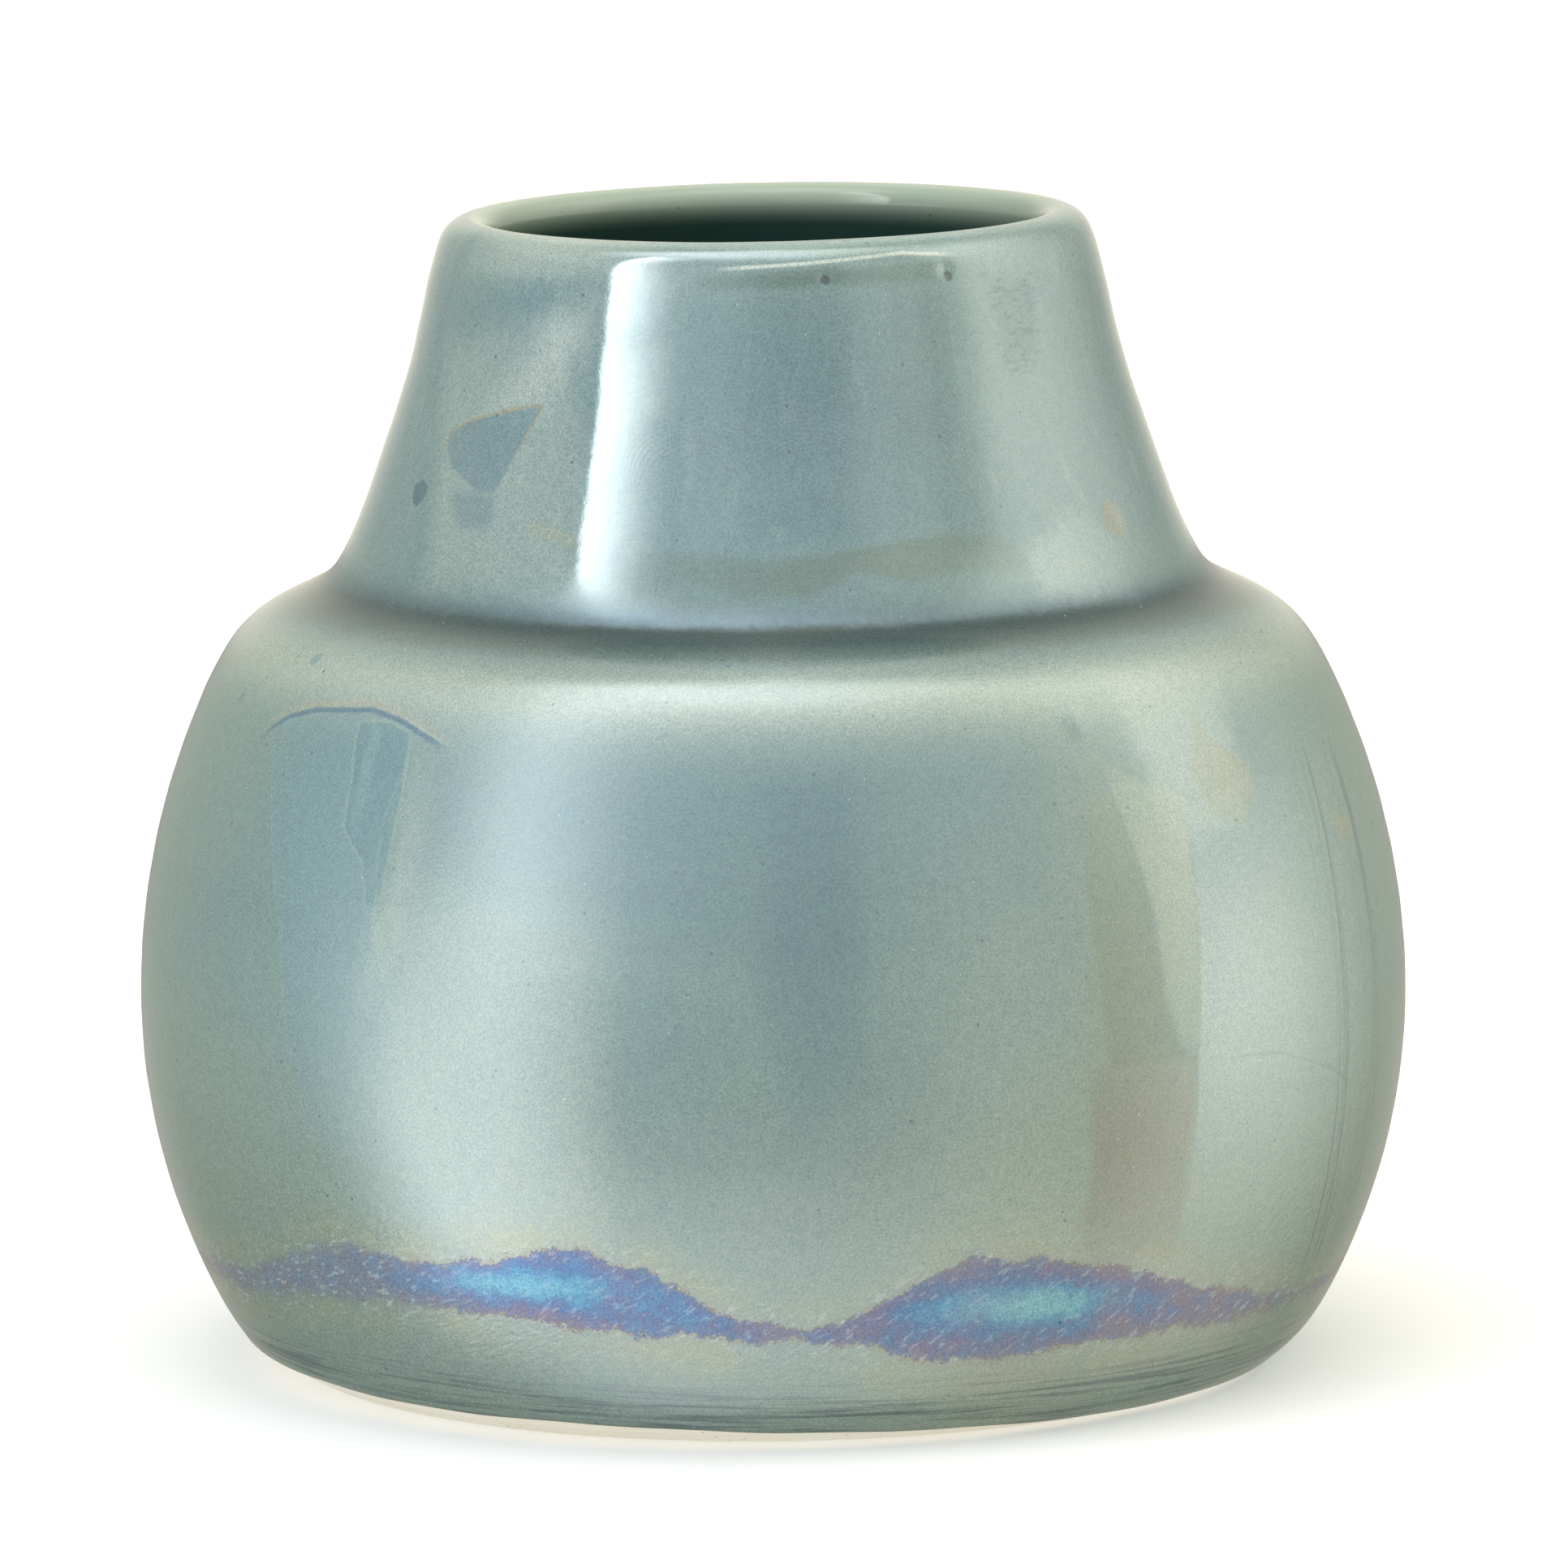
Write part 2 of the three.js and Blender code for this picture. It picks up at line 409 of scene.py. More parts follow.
def outer_samples():
    """Each outer row's place on the wall. The lowest rows follow the wandering glaze line."""
    low = np.interp(GLAZE_LINE_MM, WALL[:LIP, 1], np.arange(LIP))[:, None]
    rows = np.append(OUTER_ROWS, LIP)[None, :]
    free = 1 - smoothstep(0, LINE_REACH_MM / FINE_STEP_MM, rows)
    return rows + low * free, low


def bead(distance):
    """The outer glaze's thickness in mm at a distance from its lower edge: a rounded, slightly rolled end."""
    round_end = np.sqrt(1 - (1 - np.clip(distance / BEAD_ROUND_MM, 0, 1)) ** 2)
    return round_end * (GLAZE_MM + BEAD_ROLL_MM * np.exp(-(((distance - 1.3) / 0.9) ** 2)))


def glaze_surfaces():
    """Both coats' surface as one sheet of (segments, rows, 2), so that they meet smoothly on the lip."""
    samples, low = outer_samples()
    clay, normal = on_wall(samples)
    azimuth = AZIMUTHS[:, None] * np.ones_like(samples)
    thickness = bead((samples - low) * FINE_STEP_MM)
    thickness += relief(azimuth, clay[..., 1]) * smoothstep(0, 3, (samples - low) * FINE_STEP_MM)
    outer = clay + thickness[..., None] * normal
    clay, normal = on_wall(LINER_ROWS[1:])
    lip_relief = (thickness[:, -1] - GLAZE_MM)[:, None] * np.exp(-(LINER_ROWS[1:] - LIP) * FINE_STEP_MM / 6)
    liner = clay + (GLAZE_MM + lip_relief)[..., None] * normal
    liner[:, -1, 0] = 0
    return np.concatenate([outer, liner], axis=1), outer.shape[1] - 1


def make_glazes():
    """Both coats of glaze, with the shading normals of the one sheet that their surfaces make."""
    sheet, lip_row = glaze_surfaces()
    normals = grid_normals(revolved(sheet))
    samples, low = outer_samples()
    picks = np.unique(np.linspace(0, lip_row, BED_ROWS).astype(int))[1:]
    outer_bed = on_wall(samples[:, picks])[0][:, ::-1]
    outer_normals = [normals[:, : lip_row + 1], -normals[:, picks][:, ::-1]]
    outer_rings = np.concatenate([sheet[:, : lip_row + 1], outer_bed], axis=1)
    outer = turned("outer_glaze", outer_rings, np.concatenate(outer_normals, axis=1))
    bed_places = LIP + rows_of(WALL[LIP:], BED_STEP_MM, BED_DENSITY)
    liner_bed = all_round(on_wall(bed_places)[0])[:, ::-1]
    liner_bed[:, 0, 0] = 0
    hidden = np.broadcast_to(-normals[:, -1:], (*liner_bed.shape[:2], 3))
    liner_rings = np.concatenate([liner_bed, sheet[:, lip_row:]], axis=1)
    liner_normals = np.concatenate([hidden, normals[:, lip_row:]], axis=1)
    liner = turned("liner_glaze", liner_rings, liner_normals, on_axis=True)
    return outer, liner


def make_foot_ring():
    """The bare turned foot, with its edges worn round."""
    return turned("foot_ring", all_round(rounded(FOOT, FOOT_ROUND_MM)))


def make_belly():
    """The belly's clay. Its base, inside the foot ring, keeps the spiral that the turning tool left."""
    base = run((0, FOOT_TOP[1]), (FOOT_INNER_MM, FOOT_TOP[1]), BASE_STEP_MM)
    joint_face = run((FOOT_INNER_MM, FOOT_TOP[1]), FOOT_TOP, BED_STEP_MM)
    wall = clay_between(FOOT_SAMPLE, JOINT_SAMPLE)
    inside = clay_between(JOINT_INSIDE_SAMPLE, len(WALL))
    rings = all_round(np.vstack([base, joint_face, wall, inside]))
    rings[:, -1, 0] = 0
    r = rings[:, : len(base), 0]
    turn = 2 * np.pi * (r / SPIRAL_PITCH_MM - AZIMUTHS[:, None] / 360)
    faded = smoothstep(0, 3, r) * smoothstep(FOOT_INNER_MM, FOOT_INNER_MM - 3, r)
    rings[:, : len(base), 1] += SPIRAL_DEPTH_MM * faded * np.abs(np.sin(turn / 2))
    return turned("belly", rings, on_axis=True)


def make_neck():
    up = clay_between(JOINT_SAMPLE, LIP)
    down = clay_between(LIP, JOINT_INSIDE_SAMPLE)
    return turned("neck", all_round(np.vstack([up, down])))


# ---------------------------------------------------------------- formulas made of shader nodes


class Term:
    """A value in a node tree, so that a formula of nodes is written as a formula."""

    def __init__(self, tree, source):
        self.tree, self.source = tree, source

    def node(self, kind, inputs, output=0, **settings):
        made = self.tree.nodes.new(kind)
        for name, value in settings.items():
            setattr(made, name, value)
        for key, value in inputs.items():
            if isinstance(value, Term):
                value = value.source
            if isinstance(value, bpy.types.NodeSocket):
                self.tree.links.new(value, made.inputs[key])
            else:
                made.inputs[key].default_value = value
        return Term(self.tree, made.outputs[output])

    def math(self, operation, *others):
        return self.node("ShaderNodeMath", dict(enumerate((self, *others))), operation=operation)

    def __add__(self, other):
        return self.math("ADD", other)

    def __sub__(self, other):
        return self.math("SUBTRACT", other)

    def __mul__(self, other):
        return self.math("MULTIPLY", other)

    def __truediv__(self, other):
        return self.math("DIVIDE", other)

    def __neg__(self):
        return self * -1.0

    def least(self, other):
        return self.math("MINIMUM", other)

    def most(self, other):
        return self.math("MAXIMUM", other)

    def step(self, low, high):
        """0 below low, 1 above high, and smooth between. low may be above high."""
        inputs = {0: self, 1: low, 2: high, 3: 0.0, 4: 1.0}
        if low > high:
            inputs.update({1: high, 2: low, 3: 1.0, 4: 0.0})
        return self.node("ShaderNodeMapRange", inputs, interpolation_type="SMOOTHSTEP")

    def band(self, low, high, soft):
        return self.step(low - soft / 2, low + soft / 2) * self.step(high + soft / 2, high - soft / 2)

    def hump(self, centre, width):
        """A bell of height 1."""
        away = (self - centre) / width
        return (away * away * -1.0).math("EXPONENT")

    def ramp(self, stops):
        """A colour from (place, colour) stops."""
        made = self.node("ShaderNodeValToRGB", {0: self})
        elements = made.source.node.color_ramp.elements
        for element, (place, colour) in zip((elements[0], elements[1]), (stops[0], stops[-1])):
            element.position, element.color = place, (*colour, 1)
        for place, colour in stops[1:-1]:
            elements.new(place).color = (*colour, 1)
        return made

    def blend(self, low, high, operation="MIX"):
        """The colour low where this is 0 and high where it is 1."""
        colours = {6: low, 7: high}
        inputs = {k: (*c, 1) if isinstance(c, tuple) else c for k, c in colours.items()}
        kept = {"data_type": "RGBA", "blend_type": operation, "clamp_factor": True}
        return self.node("ShaderNodeMix", {0: self, **inputs}, output=2, **kept)


def srgb(red, green, blue):
    """A colour given as it shows on a screen, from 0 to 255."""
    return tuple(((c / 255 + 0.055) / 1.055) ** 2.4 for c in (red, green, blue))


class Surface:
    """A new material, with the places that its formulas start from, in millimetres and degrees."""

    def __init__(self, name):
        self.material = bpy.data.materials.new(name)
        self.material.use_nodes = True
        self.tree = self.material.node_tree
        self.shader = self.tree.nodes["Principled BSDF"]
        place = self.tree.nodes.new("ShaderNodeTexCoord").outputs["Object"]
        self.start = Term(self.tree, place)
        inputs = {0: place, 1: (1 / MM,) * 3}
        self.place = self.start.node("ShaderNodeVectorMath", inputs, operation="MULTIPLY")
        axes = self.start.node("ShaderNodeSeparateXYZ", {0: self.place}).source.node.outputs
        self.x, self.y, self.height = (Term(self.tree, axis) for axis in axes)
        self.azimuth = self.x.math("ARCTAN2", -self.y) * math.degrees(1)

    def stretched(self, x, y, z):
        return self.start.node("ShaderNodeVectorMath", {0: self.place, 1: (x, y, z)}, operation="MULTIPLY")

    def noise(self, size_mm, detail=2.0, place=None, roughness=0.5):
        """Noise about 0, mostly within -1 to 1, with features of a size in mm."""
        inputs = {"Vector": place or self.place, "Scale": 1 / size_mm}
        inputs.update({"Detail": detail, "Roughness": roughness})
        return (self.start.node("ShaderNodeTexNoise", inputs) - 0.5) * 3.2

    def cells(self, size_mm, place=None):
        """Distance to the nearest of many scattered points, in cells, and a random number for that point."""
        inputs = {"Vector": place or self.place, "Scale": 1 / size_mm}
        distance = self.start.node("ShaderNodeTexVoronoi", inputs)
        colour = distance.source.node.outputs["Color"]
        chance = self.start.node("ShaderNodeSeparateColor", {0: colour})
        return distance, chance

    def fact(self, name):
        """A number that the mesh holds at each vertex."""
        made = self.start.node("ShaderNodeAttribute", {}, attribute_name=name)
        return Term(self.tree, made.source.node.outputs["Fac"])

    def bump(self, height_mm, strength=1.0):
        inputs = {"Height": height_mm * MM, "Strength": strength, "Distance": 1.0}
        return self.start.node("ShaderNodeBump", inputs)

    def set(self, **values):
        for name, value in values.items():
            socket = self.shader.inputs[name.replace("_", " ")]
            if isinstance(value, Term):
                self.tree.links.new(value.source, socket)
            else:
                socket.default_value = (*value, 1) if isinstance(value, tuple) else value


# ---------------------------------------------------------------- the lustre's pattern

# The blue band low on the belly: azimuth, top_MM, bottom_MM. The front's two lobes come first.
BLUE_BAND = [
    (-62, 16.0, 13.6), (-50, 20.6, 15.4), (-43, 23.0, 16.2), (-36, 21.3, 16.6), (-23, 23.8, 15.6),
    (-18, 24.9, 15.2), (-11, 22.2, 14.8), (-4, 17.0, 14.2), (2, 15.8, 14.2), (6, 16.0, 13.6),
    (12, 20.0, 11.2), (18, 23.6, 10.6), (23, 22.6, 10.7), (33, 20.8, 11.0), (43, 16.5, 11.2),
    (58, 12.6, 10.4), (74, 12.0, 10.6), (92, 17.5, 11.4), (106, 22.6, 12.4), (121, 18.0, 13.0),
    (138, 14.8, 13.4), (160, 21.0, 13.8), (176, 25.0, 14.0), (192, 20.0, 14.4), (212, 15.6, 13.8),
    (232, 21.4, 13.0), (246, 19.0, 12.6), (270, 14.6, 12.4),
]
# Where the film is thickest: azimuth, height_MM, reach_MM
THICK_FILM = [(-26, 20.2, 10), (25, 16.8, 9), (103, 17.6, 7), (172, 19.6, 9), (234, 17.4, 7)]
THIN_FILM_NM = 60
HALO_FILM_NM = 14
BAND_FILM_NM = 76
INNER_FILM_NM = 6
PEAK_FILM_NM = 18
GROOVE_PLACE_MM = 91.7

# Films and stains with an edge, and patches of painted highlight, reflection and shade. Each has an outline
# of (azimuth, height_MM), edge_MM, ragged_MM, its colour and strength, and where it is strongest: azimuth,
# height_MM, reach_MM.
PATCHES = {
    "panel": (
        [(-59, 80.8), (-50, 58.4), (-48, 46.8), (-46, 37.4), (-43, 29.7), (-38, 23.0), (-30, 26),
         (-33, 42), (-38, 60), (-39, 71), (-37, 82.6), (-45, 83.8), (-54, 82.6)],
        0.35, 0.3, (118, 158, 166), 0.55, (-46, 66, 30)),
    "dagger": (
        [(-45.6, 82.2), (-41.5, 82.6), (-38.1, 81.6), (-37.3, 74.4), (-37.6, 63.7), (-38.8, 60.4),
         (-40.5, 67.1), (-43.7, 70.6), (-44.3, 76.2)],
        0.3, 0.3, (92, 138, 146), 0.55, (-41, 78, 18)),
    "tongue": (
        [(-43.6, 82.2), (-42.2, 82.3), (-41.6, 76), (-42, 69.5), (-43, 72), (-43.3, 77)],
        0.5, 0.2, (140, 174, 174), 0.5, (-42.5, 78, 12)),
    "cream_strip": (
        [(-37.4, 82), (-34.4, 79), (-33.6, 66), (-36, 54), (-40, 47), (-39.4, 58), (-37, 66)],
        1.6, 0.9, (190, 200, 182), 0.4, (-37, 66, 16)),
    "right_panel": (
        [(42.3, 72), (52, 74), (72, 72), (76, 50), (72, 24), (52, 22), (40, 25), (40.3, 44), (41.4, 60)],
        0.3, 0.4, (206, 218, 216), 0.65, (45, 52, 17)),
    "dark_strip": (
        [(29.8, 78), (34.6, 73), (36.2, 60), (36.6, 50), (38, 46), (40.4, 43.6), (30.4, 44.5), (29.6, 60)],
        0.7, 0.5, (104, 116, 88), 0.68, (34, 50, 22)),
    # Painted highlight: a pale patch high on the right of the belly, where the side light is reflected.
    "painted_right_highlight": (
        [(36.5, 86), (54, 86), (50, 70), (40, 67)],
        2.2, 1.2, (214, 222, 212), 0.5, (43, 77, 13)),
    "cream_edge": (
        [(33.6, 78), (42.2, 73), (41.4, 60), (41, 50), (40.4, 45), (38, 47), (36.7, 52), (36.3, 62)],
        0.5, 0.4, (198, 202, 172), 0.55, (40, 64, 18)),
    "tan_drop": (
        [(47, 83), (48, 79), (53, 75.4), (52.4, 72), (49, 69), (45, 71.2), (44.4, 75.7), (46, 79)],
        0.6, 0.5, (170, 170, 132), 0.6, (49, 75, 8)),
    "small_stain": (
        [(65, 68), (69, 67), (69.6, 64.8), (66, 64.6)], 0.8, 0.5, (168, 166, 132), 0.5, (67, 66, 9)),
    # Painted reflection: pale patches on the neck, left of the softbox's highlight.
    "painted_neck_reflection": (
        [(-66, 122), (-36, 128), (-27, 112), (-27, 97), (-52, 96)],
        2.5, 1.4, (198, 208, 194), 0.42, (-42, 108, 26)),
    # Painted reflection: a pale streak beside the left edge of the neck's highlight.
    "painted_streak_on_neck": (
        [(-50, 114), (-37, 116), (-29, 124), (-28, 130), (-36, 128)],
        3.0, 0.9, (210, 218, 206), 0.5, (-36, 122, 14)),
    # Painted highlight: a pale patch low on the right of the neck.
    "painted_neck_corner_highlight": (
        [(37, 100.4), (48, 104), (60, 99), (54, 94), (37.6, 94.6)],
        1.6, 1.2, (208, 220, 214), 0.38, (42, 98, 11)),
    "neck_patch": (
        [(-57.4, 111.3), (-56.4, 113), (-51.5, 114.6), (-46.7, 115.5), (-36.8, 117.1), (-40.5, 111.5),
         (-43.2, 106.9), (-46.9, 106.7), (-54.1, 109)],
        0.3, 0.3, (100, 138, 150), 0.75, (-47, 112, 16)),
    "neck_blob": (
        [(-52.2, 106.4), (-43.3, 106.6), (-42.2, 102.9), (-47.8, 102.3), (-51.5, 104.3)],
        0.9, 0.5, (106, 142, 152), 0.6, (-47, 104.6, 9)),
    "neck_stain": (
        [(-36, 104.4), (-27, 102.4), (-26, 101.2), (-35, 102.8)],
        0.8, 0.6, (180, 178, 146), 0.6, (-31, 103, 9)),
    # Painted highlight: a paler column on the belly's left, where the tall softbox's reflection falls.
    "painted_belly_highlight": (
        [(-35, 82), (-14, 80), (-15, 50), (-15, 26), (-32, 24), (-37, 42), (-36, 62)],
        4.0, 1.5, (190, 202, 188), 0.45, (-26, 42, 26)),
    # Painted reflection: a darker blue column down the front of the belly, where the dark front of the room
    # is mirrored.
    "painted_dark_reflection": (
        [(0, 78), (8, 78), (8, 44), (2, 38), (-1, 56)],
        3.0, 1.5, (84, 120, 130), 0.5, (4, 66, 26)),
    "olive_column": (
        [(26, 84), (36, 82), (37, 50), (34, 21), (29, 21), (28, 50)],
        4.5, 1.2, (140, 152, 122), 0.5, (31, 54, 30)),
    "tan_column": (
        [(28.6, 44), (31, 45.6), (36.7, 44), (39.8, 43.4), (39.5, 26), (40, 20), (27.7, 21), (28.8, 32)],
        0.9, 1.6, (140, 130, 100), 0.72, (35, 34, 16)),
    "neck_blue": (
        [(-10, 128), (30, 128), (28, 104), (-14, 104)],
        4.0, 2.5, (98, 134, 148), 0.25, (6, 116, 22)),
    "neck_olive": (
        [(-18, 101.2), (-6, 101), (2, 100.6), (14, 101.8), (24, 102.4), (31, 102.2), (38, 100.6), (37, 97.4),
         (27, 98.6), (20, 97.6), (12, 99), (5, 96), (-4, 96.6), (-10, 98.4), (-18, 99)],
        0.7, 0.9, (98, 118, 92), 0.62, (12, 99.6, 24)),
    "neck_mottle": (
        [(40, 131), (52, 130.6), (49, 121.3), (44, 119), (41.4, 122)],
        1.2, 1.6, (80, 120, 120), 0.6, (46, 126, 11)),
    # Painted reflection: a pale patch under the rim on the left, beside the top of the softbox's highlight.
    "painted_rim_reflection": (
        [(-64, 130.5), (-20, 131.5), (-20, 137), (-64, 137)],
        1.5, 0.8, (204, 214, 200), 0.45, (-42, 134, 14)),
    # Painted shade: darker blue over the upper belly, which narrows the softbox's reflection there.
    "upper_painted_shade": (
        [(-37, 80), (30, 80), (26, 62), (4, 56), (-20, 64), (-34, 70)],
        5.0, 2.5, (84, 124, 136), 0.55, (-14, 72, 38)),
    "rim_shade": (
        [(-12, 132), (26, 133.2), (44, 132.4), (40, 130.6), (10, 130.8), (-10, 130.6)],
        0.6, 0.7, (84, 116, 98), 0.7, (8, 131.6, 16)),
}
# Where the same kinds of patches lie again round the back: azimuth shift, height shift
ECHOES = [(188, 1.5)]

# The patterns' depths are kept up to this far from an edge
DEPTH_KEPT_MM = 9

# Lines: a raised edge and a crack on the film, and a painted highlight line under the rim. Each is part of an
# outline of (azimuth, height_MM), and shows within a reach of a place: azimuth, height_MM, reach_MM
LINES = {
    "crest": (
        [(-64, 76), (-60.2, 79.3), (-57.1, 81.4), (-52.7, 82.7), (-44.1, 83.6), (-39.9, 82.8), (-33.4, 80.3),
         (-28, 77.5), (-30, 56), (-66, 56)],
        (-47, 88, 18)),
    "crack": (
        [(36, 43.8), (40.7, 43.8), (49.7, 43.1), (57.6, 40.3), (67.1, 34.7), (75, 29), (75, 10), (36, 10)],
        (54, 43, 15)),
    "rim_line": (
        [(-24, 132.2), (-11, 132.7), (8, 133.4), (24, 134.1), (36, 133.5), (50, 133), (50, 110), (-24, 110)],
        (13, 134, 14)),
}

# Small round spots: azimuth, height_MM, radius_MM, colour, strength
SPOTS = [
    (-61, 105.6, 1.9, (66, 110, 120), 0.9), (57, 102, 2.6, (160, 156, 124), 0.75),
    (10, 131.4, 0.7, (38, 58, 54), 0.9), (32.4, 131.2, 0.7, (46, 64, 60), 0.9),
    (-58, 87.6, 1.1, (112, 152, 152), 0.6), (-69, 82, 1.0, (100, 142, 142), 0.6),
    (150, 104, 1.3, (84, 124, 130), 0.7), (-164, 88, 1.0, (112, 152, 152), 0.6),
]

# Where fingers touched the film: azimuth, height_MM, reach_MM
PRINTS = [(-56, 61, 8), (-31, 68, 8), (-10, 114, 7), (6, 115, 8), (23, 115, 7), (150, 60, 8)]
RIDGE_MM = 0.55


def with_echoes(points):
    """The same points at the front and wherever they come again."""
    again = [[(shift + a, h + up) for a, h in points] for shift, up in ECHOES]
    return [points, *again]


def band_depth(azimuth, height):
    """How deep in mm each place lies in the blue band. Outside it is negative."""
    places, tops, bottoms = zip(*BLUE_BAND)
    top = np.interp(azimuth % 360, *sorted_round(places, tops))
    bottom = np.interp(azimuth % 360, *sorted_round(places, bottoms))
    return np.minimum(top - height, (height - bottom) * 0.8)


def thickening(azimuth, height):
    """1 where the film is thickest, 0 far from there."""
    bells = []
    for place, high, reach in THICK_FILM:
        away = flat(azimuth, height, place) - (0, high)
        bells.append(np.exp(-((away[..., 0] / reach) ** 2) - (away[..., 1] / 2.2) ** 2))
    return np.max(bells, axis=0)


def sorted_round(places, values):
    """Places and values in order round the vase, run on at both ends."""
    pairs = sorted((place % 360, value) for place, value in zip(places, values))
    pairs = [(pairs[-1][0] - 360, pairs[-1][1]), *pairs, (pairs[0][0] + 360, pairs[0][1])]
    return [place for place, _ in pairs], [value for _, value in pairs]


def mark_lustre(piece):
    """Stores the pattern's distances at the outer glaze's vertices."""
    mesh = piece.data
    places = np.empty(len(mesh.vertices) * 3)
    mesh.vertices.foreach_get("co", places)
    x, y, z = places.reshape(-1, 3).T / MM
    azimuth = np.degrees(np.arctan2(x, -y))
    facts = {"band": band_depth(azimuth, z), "thickest": thickening(azimuth, z)}
    for name, (outline, *_, (place, high, reach)) in {**PATCHES, **LINES}.items():
        depths = [depth_in(azimuth, z, copy) for copy in with_echoes(outline)]
        gaps = [distance_to(azimuth, z, copy) for copy in with_echoes([(place, high)])]
        gap = np.min(gaps, axis=0)
        facts[name] = np.max(depths, axis=0)
        fading = smoothstep(reach + 1, reach - 3, gap) if name in LINES else np.exp(-((gap / reach) ** 2))
        facts[name + "_strength"] = fading
    for name, values in facts.items():
        values = np.clip(values, -DEPTH_KEPT_MM, DEPTH_KEPT_MM)
        kept = mesh.attributes.new(name, "FLOAT", "POINT")
        kept.data.foreach_set("value", values.astype(np.float32))


# ---------------------------------------------------------------- materials

GREY_GREEN = srgb(108, 145, 148)
BLUE_GREY = srgb(114, 150, 162)
CELADON = srgb(134, 162, 150)
WARM_GREY = srgb(186, 190, 160)
OLIVE_GREY = srgb(144, 163, 146)
CREAM = srgb(206, 212, 194)
POOLED_GLAZE_AND_SHADE = srgb(44, 66, 70)
PALE_RIM = srgb(188, 204, 186)
DEEP_TEAL = srgb(44, 72, 66)
SPECK = srgb(58, 86, 88)
PINPOINT = srgb(226, 236, 232)
WHITE = (1.0, 1.0, 1.0)

# Roughness of the glaze: its gloss, and what the belly, the belly's lower half and the groove add or take
GLOSS = 0.07
BELLY_SATIN = 0.29
LOW_SATIN_LOSS = 0.08
GROOVE_SATIN = 0.22
GLAZE_IOR = 1.5
FILM_IOR = 2.0
CREST_RISE_MM = 0.08
PANEL_RISE_MM = 0.006
GLINT_RISE_MM = 0.014
GLINT_SLANT = 32

# The blue band's colours, from its edge to its core
BAND_COLOURS = [
    (0.0, srgb(132, 144, 158)), (0.25, srgb(122, 152, 174)), (0.5, srgb(132, 176, 190)),
    (0.8, srgb(160, 206, 204)), (1.0, srgb(170, 214, 208)),
]


def lustre_material():
    """Grey-green glaze under a mother-of-pearl film, with its stains, film edges, specks and brush lines, and
    painted highlights, reflections and shade.
    """
    s = Surface("lustre_glaze")
    middle = s.noise(9, 3)
    fine = s.noise(1.1, 3)
    grain = s.noise(0.22, 1)

    colour = glaze_colour(s, middle)
    # The patches: films and stains, and painted highlights, reflections and shade.
    for name, (_, edge, ragged, tint, strength, _) in PATCHES.items():
        depth = s.fact(name) + (middle * 0.5 + fine * 0.5) * ragged
        share = depth.step(-edge, edge) * s.fact(name + "_strength") * strength
        colour = share.blend(colour, srgb(*tint))

    film = film_thickness(s, middle, fine, grain)
    colour = fine_marks(s, blue_band(s, colour, fine))
    pores = grain * 0.75 + fine * 0.12 + s.noise(0.35, 1) * 0.2 + 0.5
    tone = pores.blend(srgb(190, 198, 201), WHITE)
    colour = Term(s.tree, 1.0).blend(colour, tone, "MULTIPLY")

    belly = s.height.step(91, 84) * BELLY_SATIN - s.height.step(66, 30) * LOW_SATIN_LOSS
    rough = belly + s.height.hump(94.6, 2.6) * GROOVE_SATIN + GLOSS + fine * 0.008
    s.set(Base_Color=colour, Roughness=rough.most(0.04), IOR=GLAZE_IOR)
    s.set(Thin_Film_Thickness=film, Thin_Film_IOR=FILM_IOR)
    peel = s.noise(1.6, 2) * 0.002 + grain * 0.0006 + fingerprints(s) * 0.003
    crest = line_at(s.fact("crest"), 0.6) * s.fact("crest_strength") * CREST_RISE_MM
    panel = s.fact("panel").step(-0.3, 0.3) * PANEL_RISE_MM
    s.set(Normal=s.bump(peel + crest + panel + glints(s) * GLINT_RISE_MM))
    return s.material


def film_thickness(s, middle, fine, grain):
    """The film's thickness in nm: thin and silvery, almost none in the groove, and thick in the blue band."""
    ragged = s.fact("band") + s.noise(5, 3) * 0.9 + fine * 0.5 + s.noise(0.35, 2) * 0.5
    thin = s.height.hump(GROOVE_PLACE_MM, 2.6) * -0.85 * THIN_FILM_NM + THIN_FILM_NM
    halo = ragged.step(-7, -0.5) * s.noise(8, 2).step(-0.9, 0.7) * HALO_FILM_NM
    band = ragged.step(-0.2, 0.1) * BAND_FILM_NM + ragged.step(0.5, 4) * INNER_FILM_NM
    mottle = ragged.step(-0.5, 0.5) * (s.noise(3, 2) * 8.0 + grain * 5.0)
    return thin + halo + band + mottle + s.fact("thickest") * PEAK_FILM_NM + middle * 4.0 + fine * 4.0


def blue_band(s, colour, fine):
    """The blue band's colour, which fades in over its edges, with an olive halo round it and short glints
    painted in pale.
    """
    depth = s.fact("band") + s.noise(5, 3) * 0.9 + fine * 0.4
    halo = depth.step(-6, -1) * s.noise(8, 2).step(-0.9, 0.7)
    colour = (halo * 0.5).blend(colour, srgb(166, 168, 138))
    core = s.fact("thickest") * 0.8 + s.azimuth.hump(-10, 8) * 0.2 + depth.step(1, 5) * 0.3
    core = core + s.noise(3, 2) * 0.2 + fine * 0.12
    colour = (depth.step(-1.5, 1.5) * 0.85).blend(colour, core.ramp(BAND_COLOURS))
    # Painted glints: pale short dashes where the thick film's ripples catch the light.
    return (glints(s).step(0.2, 0.6) * depth.step(-5, 0.5) * 0.45).blend(colour, srgb(204, 222, 214))


